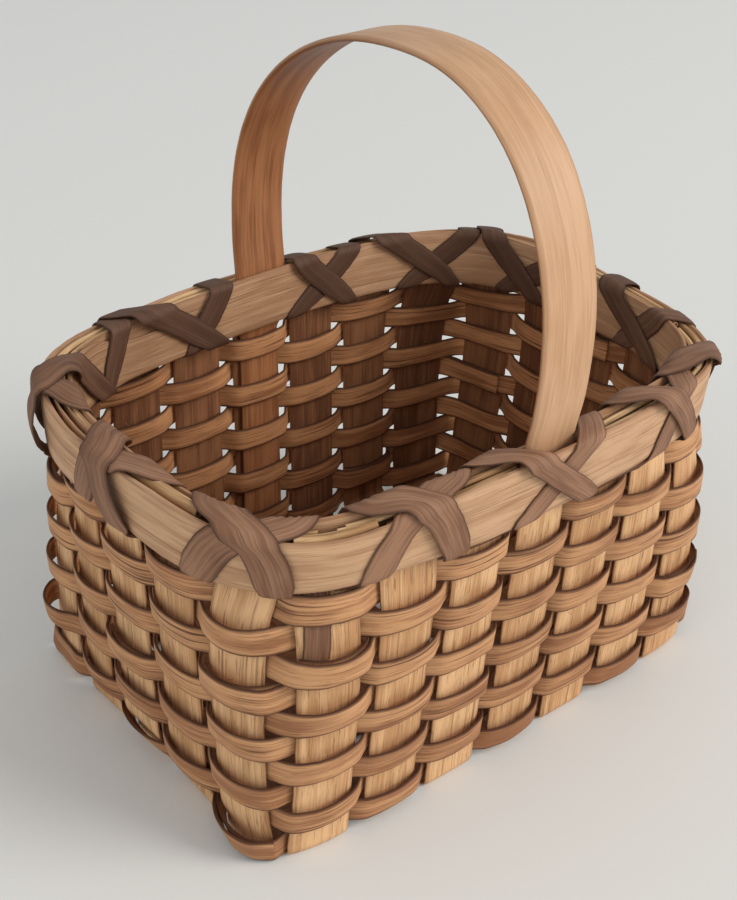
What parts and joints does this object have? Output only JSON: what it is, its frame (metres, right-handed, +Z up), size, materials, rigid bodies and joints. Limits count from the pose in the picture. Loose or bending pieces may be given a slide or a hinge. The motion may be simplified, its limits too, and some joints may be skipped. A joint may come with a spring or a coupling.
{
  "type": "splint basket",
  "caption": "Small oblong gathering basket of woven wood splint with a lashed double-hoop rim and a fixed bow handle across its width.",
  "frame": {"origin": "centre of the basket's footprint, on the surface that it stands on", "axes": "+X along the basket's length, +Y across its width and along the handle's span, +Z up"},
  "size_m": [0.129, 0.0944, 0.1296],
  "materials": {
    "stake_splint": "dry, fine straight grain",
    "weaver_splint": "dry, dark lengthwise streaks",
    "hoop_splint": "dry, fine grain along the band",
    "handle_splint": "smooth, worn to a low sheen",
    "lashing_splint": "dry, dull",
    "rim_grass": "dry grass stalk, dull"
  },
  "bodies": {
    "root": {"cross_stake_1": "stake_splint", "cross_stake_2": "stake_splint", "cross_stake_3": "stake_splint", "cross_stake_4": "stake_splint", "cross_stake_5": "stake_splint", "cross_stake_6": "stake_splint", "cross_stake_7": "stake_splint", "long_stake_1": "stake_splint", "long_stake_2": "stake_splint", "long_stake_3": "stake_splint", "long_stake_4": "stake_splint", "long_stake_5": "stake_splint", "weaver_1": "weaver_splint", "weaver_2": "weaver_splint", "weaver_3": "weaver_splint", "weaver_4": "weaver_splint", "weaver_5": "weaver_splint", "weaver_6": "weaver_splint", "weaver_7": "weaver_splint", "weaver_8": "weaver_splint", "weaver_9": "weaver_splint", "weaver_10": "weaver_splint", "outer_hoop": "hoop_splint", "inner_hoop": "hoop_splint", "outer_strand": "rim_grass", "right_strand": "rim_grass", "left_strand": "rim_grass", "lashing_under": "lashing_splint", "lashing_over": "lashing_splint", "handle": "handle_splint"}
  },
  "joints": []
}
